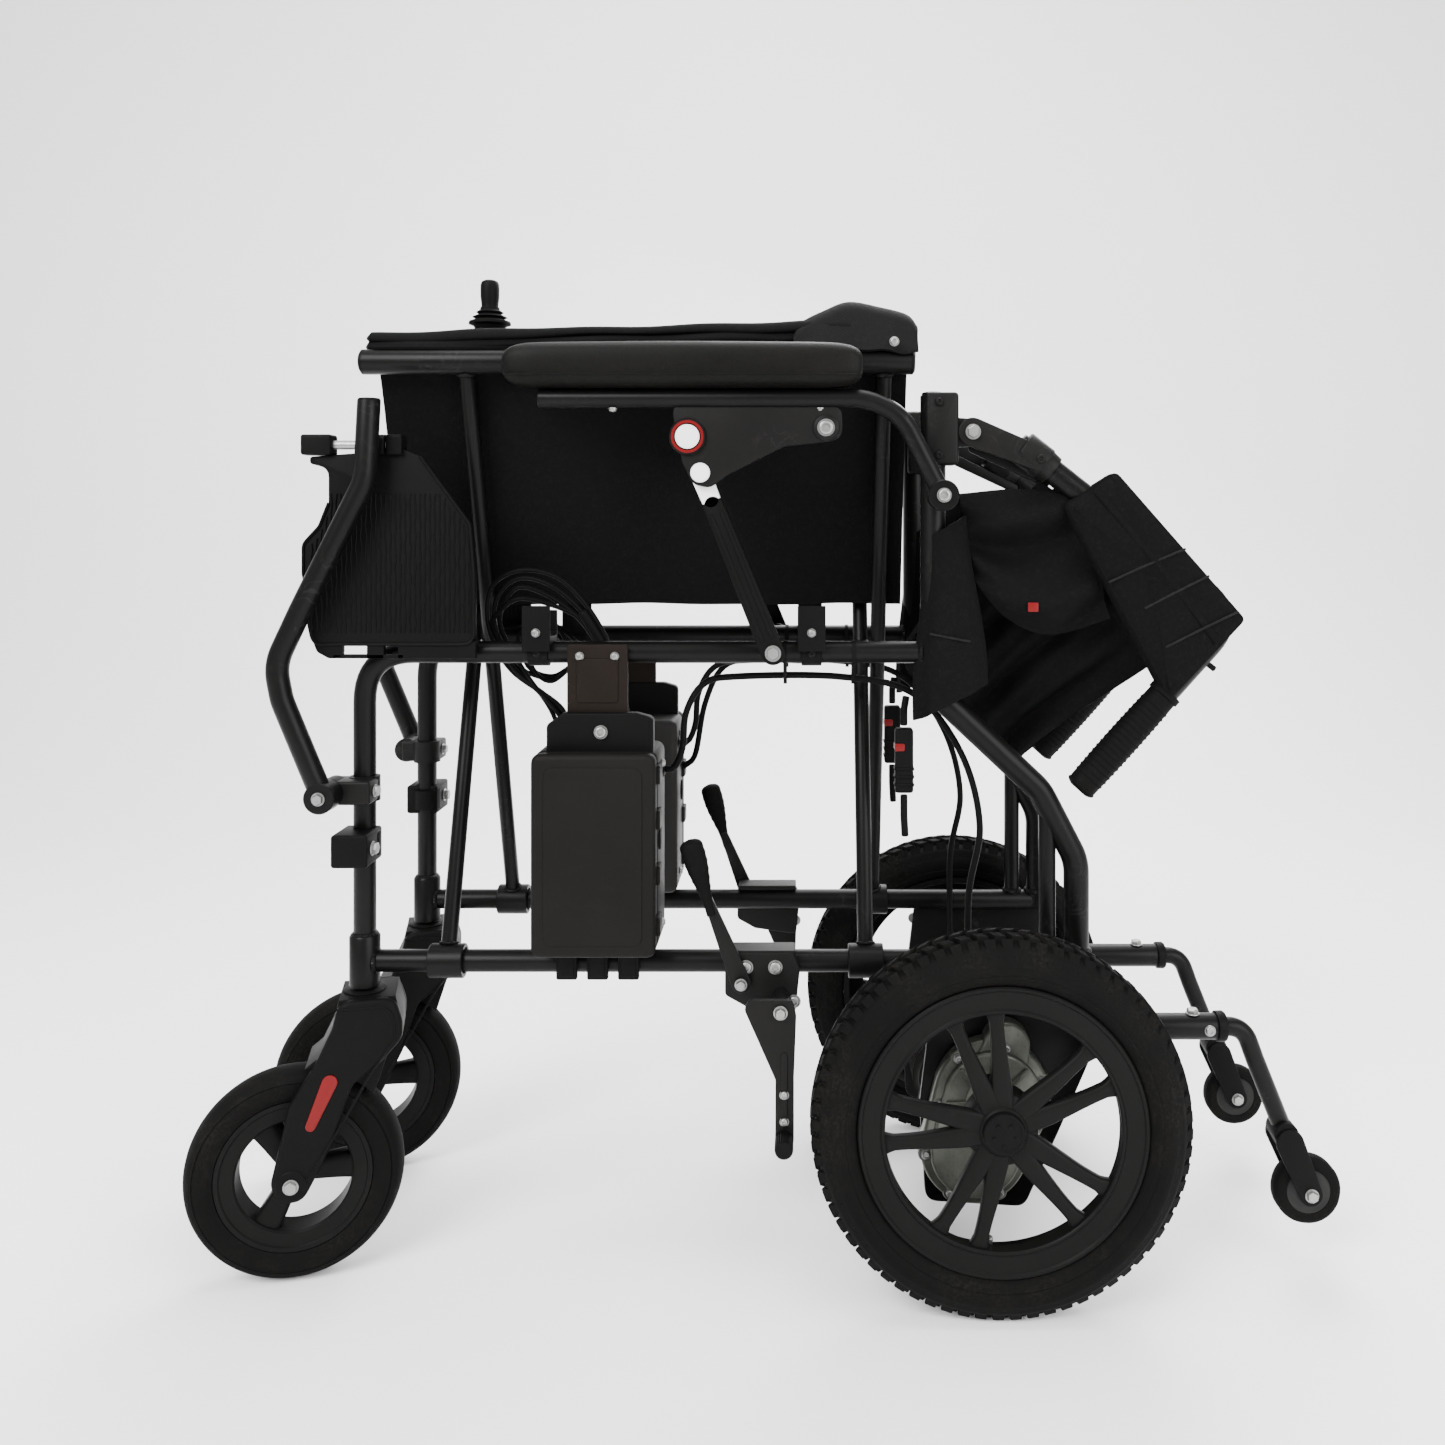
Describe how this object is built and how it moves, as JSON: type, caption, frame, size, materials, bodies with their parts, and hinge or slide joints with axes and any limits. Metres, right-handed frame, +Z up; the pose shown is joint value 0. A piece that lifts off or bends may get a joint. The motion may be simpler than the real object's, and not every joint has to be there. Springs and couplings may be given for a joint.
{
  "type": "power wheelchair",
  "caption": "Folding power wheelchair, folded: tube side frames on a cross brace, motor wheels behind, swivel casters in front, sling seat, fold-down back and joystick on one arm.",
  "frame": {"origin": "middle of the folded chair's outline on the floor, at floor height", "axes": "+X from the front of the chair to its back, +Y to the right of a person seated in it, +Z up"},
  "size_m": [0.988, 0.376, 0.898],
  "materials": {
    "black_paint": "satin black powder coat on aluminium tube",
    "battery_case": "fine-grained dark grey moulded plastic",
    "black_plastic": "moulded black plastic with a low sheen",
    "grey_plastic": "dark grey moulded plastic",
    "white_plastic": "white moulded plastic",
    "tyre_rubber": "matt black rubber",
    "grip_rubber": "ribbed soft rubber",
    "cable_rubber": "smooth black cable sheath",
    "sling_cloth": "black woven nylon with webbing edges",
    "pad_vinyl": "satin black self-skinned foam",
    "cast_metal": "bare die-cast aluminium",
    "zinc_fittings": "zinc-plated steel"
  },
  "bodies": {
    "left_side": {"left_side_frame": "black_paint", "left_battery_box": "battery_case", "left_drive_motor": "cast_metal", "left_antitip_tube": "black_paint", "left_brake_bracket": "black_paint", "left_back_flap": "sling_cloth", "left_motor_cable": "cable_rubber"},
    "right_side": {"right_side_frame": "black_paint", "right_battery_box": "battery_case", "right_drive_motor": "cast_metal", "right_antitip_tube": "black_paint", "right_brake_bracket": "black_paint", "right_back_flap": "sling_cloth", "right_motor_cable": "cable_rubber", "joystick_lead": "cable_rubber"},
    "right_brace": {"right_cross_brace": "black_paint", "front_brace_pivot": "zinc_fittings", "rear_brace_pivot": "zinc_fittings"},
    "left_brace": {"left_cross_brace": "black_paint"},
    "left_seat_half": {"left_seat_panel": "sling_cloth"},
    "left_back_post": {"left_back_cane": "black_paint", "left_push_grip": "grip_rubber"},
    "left_back_half": {"left_back_panel": "sling_cloth"},
    "left_arm": {"left_arm_frame": "black_paint", "left_arm_pad": "pad_vinyl", "left_arm_strut": "black_plastic"},
    "left_arm_release": {"left_arm_button": "white_plastic"},
    "left_legrest": {"left_legrest_hanger": "black_paint"},
    "left_foot": {"left_footplate": "black_plastic"},
    "left_caster_swivel": {"left_caster_fork": "black_plastic"},
    "left_caster_wheel": {"left_caster_tyre": "tyre_rubber", "left_caster_hub": "grey_plastic"},
    "left_drive_wheel": {"left_drive_tyre": "tyre_rubber", "left_drive_rim": "black_plastic"},
    "left_tip_roller": {"left_antitip_wheel": "tyre_rubber"},
    "left_brake_handle": {"left_brake_lever": "black_plastic"},
    "left_brake_arm": {"left_brake_shoe": "black_paint"},
    "right_seat_half": {"right_seat_panel": "sling_cloth"},
    "right_back_post": {"right_back_cane": "black_paint", "right_push_grip": "grip_rubber"},
    "right_back_half": {"right_back_panel": "sling_cloth"},
    "right_arm": {"right_arm_frame": "black_paint", "right_arm_pad": "pad_vinyl", "right_arm_strut": "black_plastic", "joystick_housing": "black_plastic", "joystick_cable": "cable_rubber"},
    "right_arm_release": {"right_arm_button": "white_plastic"},
    "right_legrest": {"right_legrest_hanger": "black_paint"},
    "right_foot": {"right_footplate": "black_plastic"},
    "right_caster_swivel": {"right_caster_fork": "black_plastic"},
    "right_caster_wheel": {"right_caster_tyre": "tyre_rubber", "right_caster_hub": "grey_plastic"},
    "right_drive_wheel": {"right_drive_tyre": "tyre_rubber", "right_drive_rim": "black_plastic"},
    "right_tip_roller": {"right_antitip_wheel": "tyre_rubber"},
    "right_brake_handle": {"right_brake_lever": "black_plastic"},
    "right_brake_arm": {"right_brake_shoe": "black_paint"},
    "stick_gimbal": {"joystick_gimbal": "zinc_fittings"},
    "stick": {"joystick_stick": "black_plastic"},
    "power_key": {"power_button": "grey_plastic"}
  },
  "joints": [
    {"name": "fold", "type": "hinge", "parent": "left_side", "child": "right_brace", "pos_m": [0.099, -0.092, 0.263], "axis": [-1, 0, 0], "range_deg": [0, 38.21]},
    {"name": "fold_centre", "type": "hinge", "parent": "right_brace", "child": "left_brace", "pos_m": [0.099, 0, 0.523], "axis": [1, 0, 0], "range_deg": [0, 76.42]},
    {"name": "fold_right_foot", "type": "hinge", "parent": "left_brace", "child": "right_side", "pos_m": [0.099, 0.092, 0.263], "axis": [-1, 0, 0], "range_deg": [0, 38.21]},
    {"name": "left_seat_turn", "type": "hinge", "parent": "left_brace", "child": "left_seat_half", "pos_m": [0.099, -0.092, 0.783], "axis": [1, 0, 0], "range_deg": [0, 32.81], "deforming": ["left_seat_panel"]},
    {"name": "right_seat_turn", "type": "hinge", "parent": "right_brace", "child": "right_seat_half", "pos_m": [0.099, 0.092, 0.783], "axis": [-1, 0, 0], "range_deg": [0, 32.81], "deforming": ["right_seat_panel"]},
    {"name": "left_back_fold", "type": "hinge", "parent": "left_side", "child": "left_back_post", "pos_m": [0.1746, -0.092, 0.7213], "axis": [0, -1, 0], "range_deg": [0, 128.5]},
    {"name": "left_back_turn", "type": "hinge", "parent": "left_back_post", "child": "left_back_half", "pos_m": [0.1858, -0.092, 0.73539], "axis": [0.7826, 0, -0.6225], "range_deg": [0, 67.52], "deforming": ["left_back_panel"]},
    {"name": "left_arm_flip", "type": "hinge", "parent": "left_side", "child": "left_arm", "pos_m": [0.146, -0.13, 0.666], "axis": [0, 1, 0], "range_deg": [0, 105]},
    {"name": "left_arm_release_press", "type": "slide", "parent": "left_arm", "child": "left_arm_release", "axis": [0, 1, 0], "range_m": [0, 0.003], "stiffness_N_per_m": 400, "springref_m": -0.001},
    {"name": "left_legrest_swing", "type": "hinge", "parent": "left_side", "child": "left_legrest", "pos_m": [-0.3747, -0.13, 0.413], "axis": [0, -1, 0], "range_deg": [0, 150]},
    {"name": "left_footplate_flip", "type": "hinge", "parent": "left_legrest", "child": "left_foot", "pos_m": [-0.336, -0.11, 0.7096], "axis": [1, 0, 0], "range_deg": [0, 90]},
    {"name": "left_caster_turn", "type": "hinge", "parent": "left_side", "child": "left_caster_swivel", "pos_m": [-0.352, -0.092, 0.27], "axis": [0, 0, 1], "continuous": true},
    {"name": "left_caster_roll", "type": "hinge", "parent": "left_caster_swivel", "child": "left_caster_wheel", "pos_m": [-0.40634, -0.10555, 0.089], "axis": [-0.2419, 0.9703, 0], "continuous": true},
    {"name": "left_drive_roll", "type": "hinge", "parent": "left_side", "child": "left_drive_wheel", "pos_m": [0.189, -0.159, 0.155], "axis": [0, 1, 0], "continuous": true},
    {"name": "left_tip_roll", "type": "hinge", "parent": "left_side", "child": "left_tip_roller", "pos_m": [0.465, -0.092, 0.066], "axis": [0, 1, 0], "continuous": true},
    {"name": "left_brake_pull", "type": "hinge", "parent": "left_side", "child": "left_brake_handle", "pos_m": [-0.024, -0.112, 0.252], "axis": [0, 1, 0], "range_deg": [0, 45]},
    {"name": "left_brake_press", "type": "hinge", "parent": "left_side", "child": "left_brake_arm", "pos_m": [0.01, -0.147, 0.24], "axis": [0, -1, 0], "range_deg": [0, 6.5]},
    {"name": "right_back_fold", "type": "hinge", "parent": "right_side", "child": "right_back_post", "pos_m": [0.1746, 0.092, 0.7213], "axis": [0, -1, 0], "range_deg": [0, 128.5]},
    {"name": "right_back_turn", "type": "hinge", "parent": "right_back_post", "child": "right_back_half", "pos_m": [0.1858, 0.092, 0.73539], "axis": [-0.7826, 0, 0.6225], "range_deg": [0, 67.52], "deforming": ["right_back_panel"]},
    {"name": "right_arm_flip", "type": "hinge", "parent": "right_side", "child": "right_arm", "pos_m": [0.146, 0.13, 0.666], "axis": [0, 1, 0], "range_deg": [0, 105]},
    {"name": "right_arm_release_press", "type": "slide", "parent": "right_arm", "child": "right_arm_release", "axis": [0, -1, 0], "range_m": [0, 0.003], "stiffness_N_per_m": 400, "springref_m": -0.001},
    {"name": "right_legrest_swing", "type": "hinge", "parent": "right_side", "child": "right_legrest", "pos_m": [-0.3747, 0.13, 0.413], "axis": [0, -1, 0], "range_deg": [0, 150]},
    {"name": "right_footplate_flip", "type": "hinge", "parent": "right_legrest", "child": "right_foot", "pos_m": [-0.336, 0.11, 0.7096], "axis": [-1, 0, 0], "range_deg": [0, 90]},
    {"name": "right_caster_turn", "type": "hinge", "parent": "right_side", "child": "right_caster_swivel", "pos_m": [-0.352, 0.092, 0.27], "axis": [0, 0, 1], "continuous": true},
    {"name": "right_caster_roll", "type": "hinge", "parent": "right_caster_swivel", "child": "right_caster_wheel", "pos_m": [-0.40634, 0.07845, 0.089], "axis": [-0.2419, 0.9703, 0], "continuous": true},
    {"name": "right_drive_roll", "type": "hinge", "parent": "right_side", "child": "right_drive_wheel", "pos_m": [0.189, 0.159, 0.155], "axis": [0, 1, 0], "continuous": true},
    {"name": "right_tip_roll", "type": "hinge", "parent": "right_side", "child": "right_tip_roller", "pos_m": [0.465, 0.092, 0.066], "axis": [0, 1, 0], "continuous": true},
    {"name": "right_brake_pull", "type": "hinge", "parent": "right_side", "child": "right_brake_handle", "pos_m": [-0.024, 0.112, 0.252], "axis": [0, 1, 0], "range_deg": [0, 45]},
    {"name": "right_brake_press", "type": "hinge", "parent": "right_side", "child": "right_brake_arm", "pos_m": [0.01, 0.147, 0.24], "axis": [0, -1, 0], "range_deg": [0, 6.5]},
    {"name": "stick_fore_aft", "type": "hinge", "parent": "right_arm", "child": "stick_gimbal", "pos_m": [-0.2977, 0.13, 0.822], "axis": [0, 1, 0], "range_deg": [-12, 12], "stiffness_Nm_per_rad": 0.3},
    {"name": "stick_sideways", "type": "hinge", "parent": "stick_gimbal", "child": "stick", "pos_m": [-0.2977, 0.13, 0.822], "axis": [1, 0, 0], "range_deg": [-12, 12], "stiffness_Nm_per_rad": 0.3},
    {"name": "power_press", "type": "slide", "parent": "right_arm", "child": "power_key", "axis": [0, 0, -1], "range_m": [0, 0.0015], "stiffness_N_per_m": 400, "springref_m": -0.0005}
  ],
  "couplings": [
    {"joint": "fold_centre", "follows": "fold", "ratio": 2},
    {"joint": "fold_right_foot", "follows": "fold", "ratio": 1},
    {"joint": "left_seat_turn", "follows": "fold", "ratio": 0.85852},
    {"joint": "right_seat_turn", "follows": "fold", "ratio": 0.85852},
    {"joint": "left_back_turn", "follows": "fold", "ratio": 1.7668},
    {"joint": "left_footplate_flip", "follows": "left_legrest_swing", "ratio": 0.6},
    {"joint": "left_brake_press", "follows": "left_brake_pull", "ratio": 0.1444},
    {"joint": "right_back_fold", "follows": "left_back_fold", "ratio": 1},
    {"joint": "right_back_turn", "follows": "fold", "ratio": 1.7668},
    {"joint": "right_footplate_flip", "follows": "right_legrest_swing", "ratio": 0.6},
    {"joint": "right_brake_press", "follows": "right_brake_pull", "ratio": 0.1444}
  ]
}
